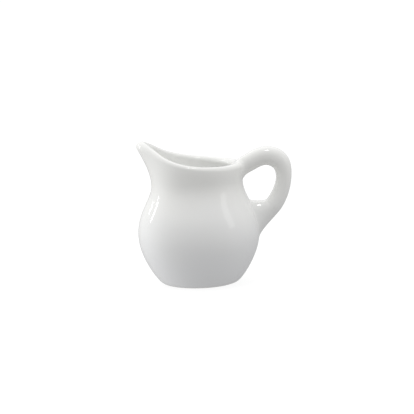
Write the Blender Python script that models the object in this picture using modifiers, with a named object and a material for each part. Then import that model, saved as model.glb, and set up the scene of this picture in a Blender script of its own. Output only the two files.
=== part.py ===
"""Small porcelain cream jug: a slip-cast body with a pulled lip, and a loop handle luted on with slip.

Metres, +Z up. The origin is under the middle of the whole jug, on the surface it stands on.
The spout points to -X and the handle to +X.
"""

import math

import bmesh
import bpy
from mathutils import Vector
from mathutils.geometry import interpolate_bezier

MM = 0.001

# Body, as it leaves the mould. Radii are from the body's own axis, heights from the foot's face.
FOOT_RADIUS = 15.0 * MM
FOOT_RING_WIDTH = 2.4 * MM
FOOT_RECESS = 1.2 * MM
FOOT_ROUNDING = 0.5 * MM
HEEL_RADIUS = 19.3 * MM
HEEL_HEIGHT = 2.5 * MM
BELLY_RADIUS = 27.6 * MM
BELLY_HEIGHT = 23.0 * MM
NECK_RADIUS = 20.8 * MM
NECK_DROP = 8.1 * MM
RIM_RADIUS = 21.7 * MM
RIM_HEIGHT = 54.3 * MM
WALL = 2.8 * MM
LIP_THICKNESS = 3.3 * MM

# Points between those on the body's outline: shares of the way across and of the way up.
HEEL_TO_BELLY = ((0.54, 0.34), (0.91, 0.72))
BELLY_TO_NECK = ((0.20, 0.35), (0.67, 0.66))

# The lip, pulled out and up into a spout opposite the handle while the clay is soft.
SPOUT_PULL = 4.4 * MM
SPOUT_LIFT = 10.3 * MM
SPOUT_SWELL = 0.6
BEAK_ANGLE = math.radians(20.0)
BEAK_POWER = 1.6
SWEEP_ANGLE = math.radians(56.5)
SWEEP_POWER = 1.5
LIFT_POWER = 1.6
BACK_PULL = -1.4 * MM
BACK_SWELL = 0.5
BACK_ANGLE = math.radians(60.0)

# Handle: an ear-shaped loop, oval in section.
HANDLE_REACH = 12.0 * MM
HANDLE_RISE = 3.0 * MM
HANDLE_THICKNESS = 7.2 * MM
CROWN_THICKNESS = 8.5 * MM
UPPER_ROOT_THICKNESS = 8.0 * MM
LOWER_ROOT_THICKNESS = 12.4 * MM
ROOT_FLARE = 1.6 * MM
LOWER_ROOT_RISE = 6.4 * MM
HANDLE_BREADTH_RATIO = 1.15

# Slip between the handle and the body, and the room between touching pieces.
SLIP_THICKNESS = 0.9 * MM
SLIP_SPREAD = 0.5 * MM
GAP = 0.3 * MM

TURN_STEPS = 48
CURVE_STEPS = 3
ROLL_STEPS = 8

NECK_HEIGHT = RIM_HEIGHT - NECK_DROP
ROLL_RADIUS = LIP_THICKNESS / 2
ROLL_CENTRE = Vector((RIM_RADIUS - ROLL_RADIUS, RIM_HEIGHT - ROLL_RADIUS))
GRIP_RADIUS = BELLY_RADIUS + HANDLE_REACH
SPOUT_TIP = RIM_RADIUS + SPOUT_PULL + ROLL_RADIUS * SPOUT_SWELL
AXIS_X = (max(SPOUT_TIP, BELLY_RADIUS) - GRIP_RADIUS - HANDLE_THICKNESS / 2) / 2


def clear_scene():
    for item in list(bpy.data.objects):
        bpy.data.objects.remove(item, do_unlink=True)


def new_collection(name):
    collection = bpy.data.collections.new(name)
    bpy.context.scene.collection.children.link(collection)
    return collection


def porcelain(name, colour, roughness):
    material = bpy.data.materials.new(name)
    material.use_nodes = True
    shader = material.node_tree.nodes["Principled BSDF"]
    shader.inputs["Base Color"].default_value = (*colour, 1.0)
    shader.inputs["Roughness"].default_value = roughness
    shader.inputs["Metallic"].default_value = 0.0
    return material


def smooth_line(points, steps):
    """A smooth curve through the points, with a number of steps between each two."""
    line = [points[0].copy()]
    last = len(points) - 1
    for i in range(last):
        start, end = points[i], points[i + 1]
        chord = (end - start).length
        before = points[max(i - 1, 0)]
        after = points[min(i + 2, last)]
        leave = (end - before).normalized() * chord / 3
        arrive = (after - start).normalized() * chord / 3
        stretch = interpolate_bezier(start, start + leave, end - arrive, end, steps + 1)
        line.extend(Vector(point[:2]) for point in stretch[1:])
    return line


def grow_line(line, distance):
    """Moves each point of an upward outer line away from the body's wall."""
    grown = []
    for i, point in enumerate(line):
        along = line[min(i + 1, len(line) - 1)] - line[max(i - 1, 0)]
        outward = Vector((along.y, -along.x)).normalized()
        grown.append(point + outward * distance)
    return grown


def between(start, end, shares):
    return [start + (end - start) * Vector(share) for share in shares]


def outer_points():
    """The body's outer wall from the heel up to the lip, as radius and height."""
    heel = Vector((HEEL_RADIUS, HEEL_HEIGHT))
    belly = Vector((BELLY_RADIUS, BELLY_HEIGHT))
    neck = Vector((NECK_RADIUS, NECK_HEIGHT))
    lip = Vector((RIM_RADIUS, ROLL_CENTRE.y))
    flank = between(heel, belly, HEEL_TO_BELLY)
    shoulder = between(belly, neck, BELLY_TO_NECK)
    return [heel, *flank, belly, *shoulder, neck, lip]


def roll_line(steps):
    """The rounded lip, from its outer side over the crest to its inner side."""
    line = []
    for i in range(1, steps):
        turn = math.pi * i / steps
        line.append(ROLL_CENTRE + ROLL_RADIUS * Vector((math.cos(turn), math.sin(turn))))
    return line


def foot_line():
    """The standing ring and the recess inside it, from the recess's middle out to the heel."""
    ring_inner = FOOT_RADIUS - FOOT_RING_WIDTH
    return [
        Vector((0.0, FOOT_RECESS)),
        Vector((ring_inner - 2 * FOOT_RECESS, FOOT_RECESS)),
        Vector((ring_inner - FOOT_ROUNDING, FOOT_ROUNDING)),
        Vector((ring_inner, 0.0)),
        Vector((FOOT_RADIUS, 0.0)),
        Vector((FOOT_RADIUS + 2 * FOOT_ROUNDING, FOOT_ROUNDING / 2)),
    ]


def body_profile():
    outer = outer_points()
    floor = FOOT_RECESS + WALL
    inner = grow_line(outer, -WALL)[1:]
    inner[-1] = Vector((RIM_RADIUS - LIP_THICKNESS, ROLL_CENTRE.y))
    bowl = [Vector((0.0, floor)), Vector((HEEL_RADIUS - 2 * WALL, floor + 0.25 * WALL))] + inner
    inside = smooth_line(bowl, CURVE_STEPS)
    outside = smooth_line(outer, CURVE_STEPS)
    return inside + roll_line(ROLL_STEPS)[::-1] + outside[::-1] + foot_line()[::-1]


def solid_profile(distance):
    """A filled body that is larger all over, and runs straight up from the lip's crest."""
    outer = smooth_line(outer_points(), CURVE_STEPS) + roll_line(ROLL_STEPS)[: ROLL_STEPS // 2]
    outside = grow_line(outer, distance)
    top = outside[-1] + Vector((0.0, SPOUT_LIFT))
    return [Vector((0.0, top.y)), top] + outside[::-1] + [Vector((0.0, outside[0].y))]


def pull_lip(mesh):
    """Draws the lip out and up into the spout, and thickens it there and where the handle joins."""
    for vertex in mesh.vertices:
        radius = math.hypot(vertex.co.x, vertex.co.y)
        share = (vertex.co.z - NECK_HEIGHT) / (ROLL_CENTRE.y - NECK_HEIGHT)
        if radius == 0.0 or share <= 0.0:
            continue
        share = min(share, 1.0)
        from_spout = math.atan2(abs(vertex.co.y), -vertex.co.x)
        beak = math.exp(-((from_spout / BEAK_ANGLE) ** BEAK_POWER))
        sweep = math.exp(-((from_spout / SWEEP_ANGLE) ** SWEEP_POWER))
        back = math.exp(-(((math.pi - from_spout) / BACK_ANGLE) ** 2))
        swell = (SPOUT_SWELL * beak + BACK_SWELL * back) * share**4
        out = (SPOUT_PULL * beak + BACK_PULL * back) * share**2
        out += swell * (radius - ROLL_CENTRE.x)
        up = SPOUT_LIFT * sweep * share**LIFT_POWER
        up += swell * (min(vertex.co.z, RIM_HEIGHT) - ROLL_CENTRE.y)
        vertex.co.x *= 1.0 + out / radius
        vertex.co.y *= 1.0 + out / radius
        vertex.co.z += up


def turned(name, profile, collection, material=None):
    """Turns a profile about the body's axis, then pulls the lip."""
    mesh = bpy.data.meshes.new(name)
    points = [(point.x, 0.0, point.y) for point in profile]
    mesh.from_pydata(points, [(i, i + 1) for i in range(len(points) - 1)], [])
    form = bpy.data.objects.new(name, mesh)
    collection.objects.link(form)
    screw = form.modifiers.new("Turn", "SCREW")
    screw.steps = TURN_STEPS
    screw.render_steps = TURN_STEPS
    screw.use_merge_vertices = True
    screw.merge_threshold = 0.00001
    bpy.context.view_layer.update()
    evaluated = form.evaluated_get(bpy.context.evaluated_depsgraph_get())
    turned_mesh = bpy.data.meshes.new_from_object(evaluated)
    form.modifiers.clear()
    form.data = turned_mesh
    bpy.data.meshes.remove(mesh)
    turned_mesh.name = name
    pull_lip(turned_mesh)
    form.location = (AXIS_X, 0.0, 0.0)
    finish_mesh(form, material)
    return form


def finish_mesh(form, material):
    form.data.shade_smooth()
    form.data.set_sharp_from_angle(angle=math.radians(50.0))
    form.data.materials.clear()
    if material:
        form.data.materials.append(material)


def as_cutter(form):
    form.hide_render = True
    form.display_type = "WIRE"
    return form


def handle_points():
    """The loop's centre line from inside the neck, over the crown and down into the belly.

    Each is a radius, a height and the section's thickness there.
    """
    crown = RIM_HEIGHT + HANDLE_RISE
    grip = GRIP_RADIUS
    low = BELLY_HEIGHT + LOWER_ROOT_RISE
    return [
        (NECK_RADIUS - 0.8 * MM, crown - 4.9 * MM, UPPER_ROOT_THICKNESS),
        (NECK_RADIUS + 3.7 * MM, crown - 2.5 * MM, UPPER_ROOT_THICKNESS),
        (grip - 7.6 * MM, crown, CROWN_THICKNESS),
        (grip - 2.0 * MM, crown - 2.6 * MM, CROWN_THICKNESS),
        (grip, crown - 8.3 * MM, HANDLE_THICKNESS),
        (grip - 1.7 * MM, (2 * crown + 3 * low) / 5, HANDLE_THICKNESS),
        (grip - 5.0 * MM, low + 5.5 * MM, HANDLE_THICKNESS + 0.6 * MM),
        (BELLY_RADIUS + 1.0 * MM, low + 1.5 * MM, LOWER_ROOT_THICKNESS),
        (BELLY_RADIUS - 5.0 * MM, low - 1.2 * MM, LOWER_ROOT_THICKNESS + ROOT_FLARE),
    ]


def swept_handle(name, extra, collection):
    """The handle's oval bar as a mesh, thicker by the extra all round."""
    curve = bpy.data.curves.new(name, "CURVE")
    curve.dimensions = "3D"
    curve.bevel_depth = 1.0
    curve.bevel_resolution = 3
    curve.resolution_u = CURVE_STEPS
    curve.use_fill_caps = True
    points = handle_points()
    spline = curve.splines.new("BEZIER")
    spline.bezier_points.add(len(points) - 1)
    for knot, (radius, height, thickness) in zip(spline.bezier_points, points):
        knot.co = (radius, 0.0, height)
        knot.radius = thickness / 2 + extra
        knot.handle_left_type = "AUTO"
        knot.handle_right_type = "AUTO"
    rail = bpy.data.objects.new(name, curve)
    rail.location = (AXIS_X, 0.0, 0.0)
    rail.scale = (1.0, HANDLE_BREADTH_RATIO, 1.0)
    collection.objects.link(rail)
    bpy.context.view_layer.update()
    evaluated = rail.evaluated_get(bpy.context.evaluated_depsgraph_get())
    mesh = bpy.data.meshes.new_from_object(evaluated)
    mesh.name = name
    shape = bmesh.new()
    shape.from_mesh(mesh)
    bmesh.ops.remove_doubles(shape, verts=shape.verts, dist=0.00001)
    bmesh.ops.scale(shape, vec=rail.scale, verts=shape.verts)
    bmesh.ops.recalc_face_normals(shape, faces=shape.faces)
    shape.to_mesh(mesh)
    shape.free()
    bar = bpy.data.objects.new(name, mesh)
    bar.location = rail.location
    bpy.data.objects.remove(rail, do_unlink=True)
    bpy.data.curves.remove(curve)
    bar.name = name
    collection.objects.link(bar)
    return bar


def cut(form, cutter, operation):
    boolean = form.modifiers.new(operation.title() + " " + cutter.name, "BOOLEAN")
    boolean.operation = operation
    boolean.solver = "EXACT"
    boolean.object = cutter


def half_block(name, height_from, height_to, collection):
    """A block beside the body that keeps one of the handle's two roots."""
    bpy.ops.mesh.primitive_cube_add(size=1.0)
    block = bpy.context.active_object
    block.name = name
    block.scale = (2 * GRIP_RADIUS, 2 * BELLY_RADIUS, height_to - height_from)
    block.location = (AXIS_X + GRIP_RADIUS, 0.0, (height_from + height_to) / 2)
    for owner in list(block.users_collection):
        owner.objects.unlink(block)
    collection.objects.link(block)
    return as_cutter(block)


def make_jug():
    clear_scene()
    parts = new_collection("Cream jug")
    cutters = new_collection("Cutters")
    glazed = porcelain("White porcelain", (0.86, 0.87, 0.85), 0.12)
    handle_glaze = porcelain("White porcelain handle", (0.84, 0.85, 0.84), 0.12)
    slip = porcelain("Luting slip", (0.80, 0.80, 0.77), 0.25)

    turned("body", body_profile(), parts, glazed)

    wall_side = as_cutter(turned("slip_wall_side", solid_profile(GAP), cutters))
    handle_side = as_cutter(turned("slip_handle_side", solid_profile(GAP + SLIP_THICKNESS), cutters))
    root_face = as_cutter(turned("handle_root_face", solid_profile(2 * GAP + SLIP_THICKNESS), cutters))

    handle = swept_handle("handle", 0.0, parts)
    finish_mesh(handle, handle_glaze)
    cut(handle, root_face, "DIFFERENCE")

    middle = (BELLY_HEIGHT + RIM_HEIGHT) / 2
    above = half_block("upper_root_block", middle, 2 * RIM_HEIGHT, cutters)
    below = half_block("lower_root_block", -RIM_HEIGHT, middle, cutters)
    for name, block in (("upper_slip_joint", above), ("lower_slip_joint", below)):
        pad = swept_handle(name, SLIP_SPREAD, parts)
        finish_mesh(pad, slip)
        cut(pad, block, "INTERSECT")
        cut(pad, handle_side, "INTERSECT")
        cut(pad, wall_side, "DIFFERENCE")


make_jug()
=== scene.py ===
"""The look of a small porcelain cream jug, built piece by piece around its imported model.

Shapes are worked out in millimetres from the body's own upright axis, with the handle towards +X
and the spout towards -X. They become metres in the model's frame as each mesh is made.
"""

import math

import bmesh
import bpy
import numpy as np
from mathutils import Matrix, Vector


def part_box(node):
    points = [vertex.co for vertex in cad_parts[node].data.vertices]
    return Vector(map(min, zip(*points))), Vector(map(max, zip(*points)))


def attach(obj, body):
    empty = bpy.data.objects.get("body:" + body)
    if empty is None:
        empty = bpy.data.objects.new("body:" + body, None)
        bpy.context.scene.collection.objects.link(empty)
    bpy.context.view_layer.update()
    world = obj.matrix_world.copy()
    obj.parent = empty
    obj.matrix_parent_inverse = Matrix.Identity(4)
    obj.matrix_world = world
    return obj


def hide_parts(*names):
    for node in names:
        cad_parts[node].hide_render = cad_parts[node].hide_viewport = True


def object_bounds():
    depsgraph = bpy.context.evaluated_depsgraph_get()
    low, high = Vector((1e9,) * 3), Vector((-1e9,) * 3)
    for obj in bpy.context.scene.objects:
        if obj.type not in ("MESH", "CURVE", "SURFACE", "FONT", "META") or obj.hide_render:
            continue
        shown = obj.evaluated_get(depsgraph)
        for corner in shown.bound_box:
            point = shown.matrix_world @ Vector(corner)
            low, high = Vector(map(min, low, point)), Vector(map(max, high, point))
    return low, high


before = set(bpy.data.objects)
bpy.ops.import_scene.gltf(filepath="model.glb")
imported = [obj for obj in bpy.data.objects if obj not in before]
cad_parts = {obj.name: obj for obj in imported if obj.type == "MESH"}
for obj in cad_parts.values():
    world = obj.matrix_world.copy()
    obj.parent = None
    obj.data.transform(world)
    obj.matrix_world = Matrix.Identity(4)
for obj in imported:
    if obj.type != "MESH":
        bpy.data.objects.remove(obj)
cad_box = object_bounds()


# ---------------------------------------------------------------------------------------------
# Body. A hollow casting of porcelain slip, about 2.8 mm thick, taken from a plaster mould.
# Its lip is thickened, and drawn out and up into a spout by hand while the clay is soft.
# It is glazed inside and out, but for the ring that it stands on, which is wiped bare.

MM = 0.001
body_low, body_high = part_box("body")
belly_radius = (body_high.y - body_low.y) / 2 / MM
axis_x = body_low.x + belly_radius * MM

wall_thickness = 2.8
foot_radius = 15.0
foot_ring_width = 2.4
foot_recess = 1.2
neck_radius = 20.8
neck_height = 46.2
rim_radius = 21.7
rim_height = 54.3
roll_radius = 1.65
roll_centre = (rim_radius - roll_radius, rim_height - roll_radius)
spout_pull = 4.4
spout_swell = 0.6
back_swell = 0.5
back_pull = -1.4
spout_lift = body_high.z / MM - rim_height - spout_swell * roll_radius
drawn_from = 43.0
raised_from = 42.0


def batten(knots, steps, start=None, end=None):
    """Bends an even line through the knots, with a number of steps to each span.

    The first two numbers of a knot are its place. Any others, such as a thickness, change
    along the line in the same even way. The line may be given its direction at either end.
    """
    knots = np.array(knots, float)
    spans = np.linalg.norm(np.diff(knots[:, :2], axis=0), axis=1)
    chords = np.diff(knots, axis=0) / spans[:, None]
    count = len(knots)
    bend = np.zeros((count, count))
    pull = np.zeros_like(knots)
    for i in range(1, count - 1):
        before = 1.0 / spans[i - 1]
        after = 1.0 / spans[i]
        bend[i, i - 1 : i + 2] = before, 2.0 * (before + after), after
        pull[i] = 3.0 * (chords[i - 1] * before + chords[i] * after)
    for row, inner, chord, given in ((0, 1, 0, start), (count - 1, count - 2, -1, end)):
        bend[row, row] = 2.0 if given is None else 1.0
        bend[row, inner] = 1.0 if given is None else 0.0
        pull[row] = 3.0 * chords[chord] if given is None else given
    slopes = np.linalg.solve(bend, pull)
    line = [knots[:1]]
    share = np.arange(1, steps + 1)[:, None] / steps
    for i, span in enumerate(spans):
        rise = share**2 * (3.0 - 2.0 * share)
        leave = share * (1.0 - share) ** 2 * span
        arrive = share**2 * (share - 1.0) * span
        level = knots[i] * (1.0 - rise) + knots[i + 1] * rise
        line.append(level + slopes[i] * leave + slopes[i + 1] * arrive)
    return np.concatenate(line)


def aside(line):
    """The directions square to a line of radius and height, on its left as it goes."""
    along = np.gradient(line[:, :2], axis=0)
    along /= np.linalg.norm(along, axis=1)[:, None]
    return np.column_stack((-along[:, 1], along[:, 0]))


SPAN_STEPS = 14
ROLL_STEPS = 24
FOOT_STEPS = 6
TURN_STEPS = 192

outer_knots = [
    (foot_radius + 0.4, 0.05),
    (17.3, 0.75),
    (19.2, 2.5),
    (23.78, 9.47),
    (26.85, 17.26),
    (belly_radius, 23.0),
    (26.24, 31.12),
    (23.04, 38.31),
    (neck_radius, neck_height),
    (rim_radius, roll_centre[1]),
]
outer_line = batten(outer_knots, SPAN_STEPS, end=(0.0, 1.0))

over = np.linspace(0.0, math.pi, ROLL_STEPS + 1)[1:-1]
roll_line = np.column_stack((np.cos(over), np.sin(over))) * roll_radius + roll_centre

floor_height = foot_recess + wall_thickness
inner_knots = [(0.0, floor_height), (13.2, floor_height + 0.7)]
inner_face = outer_line + aside(outer_line) * wall_thickness
inner_knots.extend(inner_face[3 * SPAN_STEPS : -1 : SPAN_STEPS])
inner_knots.append((roll_centre[0] - roll_radius, roll_centre[1]))
inner_line = batten(inner_knots, SPAN_STEPS, start=(1.0, 0.0), end=(0.0, 1.0))

ring_inner = foot_radius - foot_ring_width
foot_line = batten(
    [
        (foot_radius + 0.15, 0.0),
        (ring_inner + 0.35, 0.0),
        (ring_inner - 0.25, 0.3),
        (ring_inner - 0.75, 0.85),
        (ring_inner - 2.2, foot_recess),
        (ring_inner / 2, foot_recess),
        (0.0, foot_recess),
    ],
    FOOT_STEPS,
    start=(-1.0, 0.0),
    end=(-1.0, 0.0),
)
foot_line[: FOOT_STEPS + 1, 1] = 0.0  # the standing ring is ground flat
body_line = np.concatenate((inner_line, roll_line[::-1], outer_line[::-1], foot_line))


def bell(angle, width, power, blunt):
    """A swelling that is 1 in the middle, falls away over a width and has no crease on its crown."""
    blunted = np.exp(-((blunt / width) ** power))
    return np.exp(-((np.hypot(angle, blunt) / width) ** power)) / blunted


def pulled(radius, height, turn):
    """Where a point of the round casting goes when the lip is drawn. Turn 0 is the handle's side."""
    from_back = np.abs(turn)
    from_spout = np.degrees(math.pi - from_back)
    beak = bell(from_spout, 20.0, 1.6, 3.0)
    sweep = bell(from_spout, 56.5, 1.5, 5.0)
    back = np.exp(-((np.degrees(from_back) / 60.0) ** 2))
    lip = roll_centre[1]
    drawn = np.clip((height - drawn_from) / (lip - drawn_from), 0.0, 1.0) ** 3
    raised = np.clip((height - raised_from) / (lip - raised_from), 0.0, 1.0) ** 2.4
    swell = np.clip((height - neck_height) / (lip - neck_height), 0.0, 1.0) ** 4
    swell = swell * (spout_swell * beak + back_swell * back)
    out = radius + (spout_pull * beak + back_pull * back) * drawn + swell * (radius - roll_centre[0])
    up = height + spout_lift * sweep * raised + swell * (np.minimum(height, rim_height) - lip)
    out = np.where(radius > 0.0, out, 0.0)
    return np.stack((out * np.cos(turn), out * np.sin(turn), up), axis=-1)


def skin(name, rows, finish):
    """A closed, smooth mesh over rows of points. Its first and last rows are single points."""
    points = np.concatenate(rows) * MM + (axis_x, 0.0, 0.0)
    faces = []
    start = 0
    for row, following in zip(rows, rows[1:]):
        after = start + len(row)
        count = max(len(row), len(following))
        for i in range(count):
            j = (i + 1) % count
            if len(row) == 1:
                faces.append((start, after + i, after + j))
            elif len(following) == 1:
                faces.append((start + i, start + j, after))
            else:
                faces.append((start + i, start + j, after + j, after + i))
        start = after
    mesh = bpy.data.meshes.new(name)
    mesh.from_pydata(points.tolist(), [], faces)
    shape = bmesh.new()
    shape.from_mesh(mesh)
    bmesh.ops.recalc_face_normals(shape, faces=shape.faces)
    shape.to_mesh(mesh)
    shape.free()
    mesh.shade_smooth()
    mesh.materials.append(finish)
    piece = bpy.data.objects.new(name, mesh)
    bpy.context.scene.collection.objects.link(piece)
    return piece


class Recipe:
    """One ingredient of a finish: an output socket that takes part in ordinary sums."""

    def __init__(self, tree, socket=None):
        self.tree = tree
        self.socket = socket

    def stir(self, kind, settings, values, output=0):
        """Adds one node, sets it up, fills its sockets, and gives back one of its outputs."""
        node = self.tree.nodes.new("ShaderNode" + kind)
        for name, setting in settings.items():
            setattr(node, name, setting)
        for name, value in values.items():
            if isinstance(value, Recipe):
                self.tree.links.new(value.socket, node.inputs[name])
            else:
                node.inputs[name].default_value = value
        return Recipe(self.tree, node.outputs[output] if node.outputs else None)

    def sum(self, operation, first, second):
        return self.stir("Math", {"operation": operation}, {0: first, 1: second})

    def __add__(self, other):
        return self.sum("ADD", self, other)

    def __radd__(self, other):
        return self.sum("ADD", other, self)

    def __sub__(self, other):
        return self.sum("SUBTRACT", self, other)

    def __rsub__(self, other):
        return self.sum("SUBTRACT", other, self)

    def __mul__(self, other):
        return self.sum("MULTIPLY", self, other)

    def __rmul__(self, other):
        return self.sum("MULTIPLY", other, self)

    def noise(self, place, size, detail=2.0):
        """Soft cloudy variation, with lumps of about a size in millimetres."""
        values = {"Vector": place, "Scale": 1.0 / (size * MM), "Detail": detail}
        return self.stir("TexNoise", {}, values)

    def ease(self, value, low, high):
        """0 below the low value, 1 above the high one, and a soft step between them."""
        settings = {"interpolation_type": "SMOOTHSTEP"}
        values = {"Value": value, "From Min": low, "From Max": high}
        return self.stir("MapRange", settings, values)

    def tint(self, share, first, second):
        """A colour that goes from the first to the second by a share."""
        values = {"Factor": share, 6: first, 7: second}
        return self.stir("Mix", {"data_type": "RGBA"}, values, output=2)


def glazed(name, warm_lit_glaze, cool_shaded_glaze):
    """White porcelain under a hard, bright, clear glaze, with a standing ring wiped bare."""
    material = bpy.data.materials.new(name)
    material.use_nodes = True
    tree = material.node_tree
    tree.nodes.clear()
    mix = Recipe(tree)

    place = mix.stir("TexCoord", {}, {}, output=3)
    axes = mix.stir("SeparateXYZ", {}, {"Vector": place})
    height = Recipe(tree, axes.socket.node.outputs[2])

    # The glaze is wiped off the standing ring, and its edge wanders by a few tenths.
    wander = (mix.noise(place, 3.0) - 0.5) * 0.3 * MM
    glaze = mix.ease(height + wander, 0.30 * MM, 0.42 * MM)

    # Its colour goes from warm high on the jug to cool and a little darker low on it. This is painted
    # light: the warm light from above and the cool shade below are painted into the glaze by height,
    # over random clouds of tone.
    light_tint_by_height = 1.0 - mix.ease(height + (mix.noise(place, 14.0) - 0.5) * 12.0 * MM, 4.0 * MM, 50.0 * MM)
    clouds = mix.noise(place, 9.0, 3.0)
    glaze_and_light_tint = mix.tint(light_tint_by_height * 0.8 + clouds * 0.2, warm_lit_glaze, cool_shaded_glaze)
    grain = mix.noise(place, 0.35, 4.0)
    clay_colour = mix.tint(grain, (0.78, 0.755, 0.70, 1.0), (0.85, 0.835, 0.795, 1.0))
    colour = mix.tint(glaze, clay_colour, glaze_and_light_tint)

    # The glaze has faint orange peel over the slow waves of the casting. Bare clay is sandy.
    peel = mix.noise(place, 1.1, 1.0) * 0.0016 * MM
    waves = mix.noise(place, 11.0, 1.0) * 0.10 * MM
    sand = grain * 0.03 * MM
    relief = waves + peel * glaze + sand * (1.0 - glaze) + glaze * 0.08 * MM
    values = {"Strength": 1.0, "Distance": 1.0, "Height": relief}
    bump = mix.stir("Bump", {}, values)

    shader = mix.stir(
        "BsdfPrincipled",
        {},
        {
            "Base Color": colour,
            "Roughness": 0.62 - glaze * (0.57 - clouds * 0.03),
            "IOR": 1.52,
            "Normal": bump,
        },
    )
    mix.stir("OutputMaterial", {}, {"Surface": shader})
    return material


# The two colours are the white glaze lit warm from above and shaded cool from below, as painted light.
porcelain_glaze = glazed("porcelain_glaze", (0.955, 0.955, 0.930, 1.0), (0.932, 0.940, 0.955, 1.0))

turns = np.arange(TURN_STEPS) * 2.0 * math.pi / TURN_STEPS
turns = np.where(turns > math.pi, turns - 2.0 * math.pi, turns)
body_rows = []
for radius, height in body_line:
    around = turns if radius > 0.0 else turns[:1]
    body_rows.append(pulled(np.full(len(around), radius), np.full(len(around), height), around))

porcelain_body = skin("porcelain_body", body_rows, porcelain_glaze)
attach(porcelain_body, "root")
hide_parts("body")


# ---------------------------------------------------------------------------------------------
# Handle. A solid ear-shaped loop of the same porcelain, cast by itself in a two-part mould.
# Both its ends flare where they meet the body: the upper one runs onto the rim like a thumb
# rest, and the lower one spreads down the belly.

handle_low, handle_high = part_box("handle")
grip_thickness = 7.2
grip_radius = (handle_high.x - axis_x) / MM - grip_thickness / 2
crown_height = rim_height + 3.0

SECTION_STEPS = 72
FLARE_STEPS = 24
HANDLE_SHARE = 17  # of the flare's steps, from the bar on, that are the handle's own
SECTION_POWER = 2.2
SUNK = 0.015  # how far the handle and the slip run under each other

# Radius, height, thickness in the loop's plane, and breadth across it.
route = batten(
    [
        (24.5, crown_height - 2.5, 8.1, 9.4),
        (32.0, crown_height, 8.5, 9.4),
        (grip_radius - 1.8, crown_height - 2.6, 8.5, 9.2),
        (grip_radius, crown_height - 8.5, grip_thickness, 8.4),
        (grip_radius - 1.6, 40.8, 7.3, 8.2),
        (grip_radius - 5.1, 34.8, 7.9, 9.2),
    ],
    16,
    start=(0.86, 0.51, 0.0, 0.0),
    end=(-0.64, -0.77, 0.1, 0.1),
)
sideways = np.linspace(0.0, 2.0 * math.pi, SECTION_STEPS, endpoint=False)
outward = np.sign(np.cos(sideways)) * np.abs(np.cos(sideways)) ** (2.0 / SECTION_POWER)
across = np.sign(np.sin(sideways)) * np.abs(np.sin(sideways)) ** (2.0 / SECTION_POWER)

bar_rows = []
for (radius, height, thickness, breadth), (side_x, side_z) in zip(route, aside(route)):
    reach = outward * thickness / 2
    ring = (radius + side_x * reach, across * breadth / 2, height + side_z * reach)
    bar_rows.append(np.column_stack(ring))

wall_line = np.concatenate((outer_line, roll_line))
wall_lengths = np.linalg.norm(np.diff(wall_line, axis=0), axis=1)
wall_lengths = np.concatenate(([0.0], np.cumsum(wall_lengths)))


def along_wall(height):
    """How far up the body's outer wall a height is, measured along the wall from the foot."""
    return np.interp(height, outer_line[:, 1], wall_lengths[: len(outer_line)])


def wall(turn, along, proud=0.0):
    """A point on the body's outside, or a little proud of it, from a turn and a length up the wall."""
    def at(turn, along):
        radius = np.interp(along, wall_lengths, wall_line[:, 0])
        height = np.interp(along, wall_lengths, wall_line[:, 1])
        return pulled(radius, height, turn)

    around = at(turn + 0.01, along) - at(turn - 0.01, along)
    upward = at(turn, along + 0.2) - at(turn, along - 0.2)
    normal = np.cross(around, upward)
    return at(turn, along) + normal / np.linalg.norm(normal, axis=-1)[..., None] * proud


class Root:
    """One end of the handle, where its bar spreads into the wall over an oval patch."""

    def __init__(self, ring, heading, outer_edge, inner_edge, half_turn, leave, arrive):
        self.half_turn = half_turn
        self.middle = (outer_edge + inner_edge) / 2
        self.half = (outer_edge - inner_edge) / 2
        lean = (1.0 + outward[:, None]) / 2
        foot = self.patch(1.0, 0.01)
        spread = self.patch(1.03) - self.patch(0.97)
        spread /= np.linalg.norm(spread, axis=1)[:, None]
        near = ring + np.array(heading) * (leave[0] * (1.0 - lean) + leave[1] * lean)
        far = foot - spread * (arrive[0] * (1.0 - lean) + arrive[1] * lean)
        share = np.linspace(0.0, 1.0, FLARE_STEPS + 1)[:, None, None]
        self.rows = ring * (1 - share) ** 3 + near * 3 * share * (1 - share) ** 2
        self.rows += far * 3 * share**2 * (1 - share) + foot * share**3
        ahead = np.gradient(self.rows, axis=0)
        beside = np.roll(self.rows, -1, axis=1) - np.roll(self.rows, 1, axis=1)
        normals = np.cross(beside, ahead)
        normals /= np.linalg.norm(normals, axis=2)[:, :, None]
        middle = self.rows.mean(axis=1, keepdims=True)
        if ((self.rows - middle) * normals).sum() < 0.0:
            normals = -normals
        self.sunk = self.rows - normals * SUNK

    def patch(self, scale, proud=0.0):
        """The oval on the wall, larger or smaller, as a ring of points."""
        turn = across * self.half_turn * scale
        along = self.middle + outward * self.half * scale
        return wall(turn, along, proud)

    def lid(self, proud):
        """Rows that close a piece over the patch, the last a single point."""
        return [self.patch(0.6, proud), self.patch(0.3, proud), self.patch(0.0, proud)[:1]]


upper_root = Root(
    bar_rows[0],
    heading=(-0.86, 0.0, -0.51),
    outer_edge=wall_lengths[len(outer_line)] + math.radians(126.0) * roll_radius,
    inner_edge=along_wall(46.2),
    half_turn=math.radians(19.0),
    leave=(2.0, 2.0),
    arrive=(3.0, 3.0),
)
lower_root = Root(
    bar_rows[-1],
    heading=(-0.64, 0.0, -0.77),
    outer_edge=along_wall(19.8),
    inner_edge=along_wall(37.6),
    half_turn=math.radians(15.0),
    leave=(1.0, 5.0),
    arrive=(1.0, 3.2),
)

handle_rows = []
for root, order in ((upper_root, -1), (lower_root, 1)):
    flare = [*root.rows[1 : HANDLE_SHARE + 1], root.sunk[HANDLE_SHARE + 1], *root.lid(0.9)]
    if order < 0:
        handle_rows = flare[::-1] + bar_rows
    else:
        handle_rows = handle_rows + flare

loop_handle = skin("loop_handle", handle_rows, porcelain_glaze)
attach(loop_handle, "root")
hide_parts("handle")


# ---------------------------------------------------------------------------------------------
# Slip fillets. Each end of the handle is stuck on with a dab of the same porcelain as runny
# slip, which squeezes out and is smoothed with a wet brush into a fillet all round.

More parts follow.
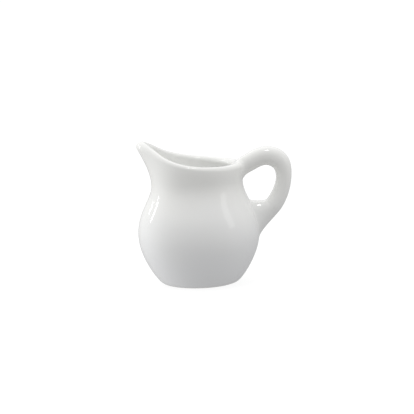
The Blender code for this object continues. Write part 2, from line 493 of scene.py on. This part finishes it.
# The fillets' glaze is a little darker and greyer than the body's. This is partly glaze pooling in the
# joins and partly painted shade in the creases between handle and body. Like the body's glaze, it also
# carries the painted warm-to-cool light tint by height.
slip_glaze = glazed("slip_under_glaze", (0.942, 0.942, 0.924, 1.0), (0.930, 0.936, 0.938, 1.0))

for name, node, root in (
    ("upper_slip_fillet", "upper_slip_joint", upper_root),
    ("lower_slip_fillet", "lower_slip_joint", lower_root),
):
    feather = root.patch(1.0 + 0.6 / abs(root.half), -0.03)
    fillet = [root.sunk[HANDLE_SHARE - 1], *root.rows[HANDLE_SHARE:], feather]
    piece = skin(name, root.lid(0.85)[::-1] + fillet + root.lid(-0.03), slip_glaze)
    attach(piece, "root")
    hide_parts(node)


# ---------------------------------------------------------------------------------------------
# Studio. A pale sweep of paper under and behind the jug, lit from all round by a white tent that
# is brightest behind and on the left. Two tall strip lights stand on the left and a soft panel on
# the right, and a small lamp hangs overhead.

floor_mesh = bpy.data.meshes.new("paper_sweep")
half_floor = 40.0  # metres, so that it reaches past every view
corners = [(-half_floor, -half_floor), (half_floor, -half_floor), (half_floor, half_floor)]
corners.append((-half_floor, half_floor))
floor_mesh.from_pydata([(x, y, cad_box[0][2]) for x, y in corners], [], [(0, 1, 2, 3)])
floor = bpy.data.objects.new("paper_sweep", floor_mesh)
bpy.context.scene.collection.objects.link(floor)
paper = bpy.data.materials.new("paper")
paper.use_nodes = True
paper_shader = paper.node_tree.nodes["Principled BSDF"]
paper_shader.inputs["Base Color"].default_value = (0.2, 0.2, 0.2, 1.0)
paper_shader.inputs["Roughness"].default_value = 1.0
paper_shader.inputs["Specular IOR Level"].default_value = 0.0
paper_shader.inputs["Emission Color"].default_value = (1.0, 1.0, 1.0, 1.0)
paper_shader.inputs["Emission Strength"].default_value = 0.86
paper.cycles.emission_sampling = "NONE"
floor_mesh.materials.append(paper)

# The paper glows evenly by itself, and neither lights the jug nor shades it from below.
floor.visible_diffuse = False
floor.visible_glossy = False
floor.visible_shadow = False

tent = bpy.data.worlds.new("tent")
tent.use_nodes = True
tent.node_tree.nodes.clear()
tent_mix = Recipe(tent.node_tree)
facing = tent_mix.stir("TexCoord", {}, {})

# Bearing from the handle's side and height, both in degrees, how tight the panel is, and its level.
glow = 0.30
for bearing, height, tightness, level in (
    (90, 50, 3.0, 0.92),  # the roof, behind the jug
    (170, -12, 4.0, 1.10),  # the left wall, down to the table
    (260, 60, 4.0, 0.45),  # the roof, in front
    (350, 0, 4.0, 0.50),  # the right wall
):
    bearing = math.radians(bearing)
    height = math.radians(height)
    flat = math.cos(height)
    panel = (flat * math.cos(bearing), flat * math.sin(bearing), math.sin(height))
    near = tent_mix.stir("VectorMath", {"operation": "DOT_PRODUCT"}, {0: facing, 1: panel}, output=1)
    glow = tent_mix.sum("EXPONENT", (near - 1.0) * tightness, 0.0) * level + glow
seen = tent_mix.stir("LightPath", {}, {})
strength = glow * (1.0 - seen) + seen
backdrop = tent_mix.stir("Background", {}, {"Color": (1.0, 1.0, 1.0, 1.0), "Strength": strength})
tent_mix.stir("OutputWorld", {}, {"Surface": backdrop})
bpy.context.scene.world = tent
bpy.context.scene.cycles.diffuse_bounces = 12  # light crosses the inside of a white jug many times

aim = Vector((axis_x + 4.1 * MM, 0.24 * MM, 34.6 * MM))


def flat_light(name, toward, distance, width, length, radiance):
    """A flat soft light that faces the jug from a direction, with a brightness to look into."""
    lamp = bpy.data.lights.new(name, "AREA")
    lamp.shape = "RECTANGLE"
    lamp.size = width
    lamp.size_y = length
    lamp.energy = radiance * math.pi * width * length
    light = bpy.data.objects.new(name, lamp)
    direction = Vector(toward).normalized()
    light.location = aim + direction * distance
    light.rotation_euler = direction.to_track_quat("Z", "Y").to_euler()
    light.visible_camera = False
    bpy.context.scene.collection.objects.link(light)


flat_light("left_strip_front", (-0.83, 0.32, 0.42), 1.6, 0.07, 0.80, 10.0)
flat_light("left_strip_back", (-0.72, 0.53, 0.42), 1.6, 0.07, 0.70, 8.0)
flat_light("right_panel", (0.84, -0.34, 0.40), 1.6, 0.38, 0.70, 1.1)
flat_light("overhead_lamp", (0.05, -0.25, 1.00), 1.4, 0.22, 0.22, 14.0)

# The camera looks slightly down at the jug from beside it, a little over a metre away.
elevation = math.radians(8.6)
tilt = math.radians(2.0)
distance = 1.100
right = Vector((1.0, 0.0, 0.0))
back = Vector((0.0, -math.cos(elevation), math.sin(elevation)))
up = back.cross(right)
camera_x = right * math.cos(tilt) - up * math.sin(tilt)
camera_y = right * math.sin(tilt) + up * math.cos(tilt)
lens = bpy.data.cameras.new("camera")
lens.sensor_width = 36.0
lens.lens = 210.2
camera = bpy.data.objects.new("camera", lens)
camera.matrix_world = Matrix.Translation(aim + back * distance) @ Matrix(
    (camera_x, camera_y, back)
).transposed().to_4x4()
bpy.context.scene.collection.objects.link(camera)
bpy.context.scene.camera = camera
bpy.context.scene.view_settings.view_transform = "Standard"
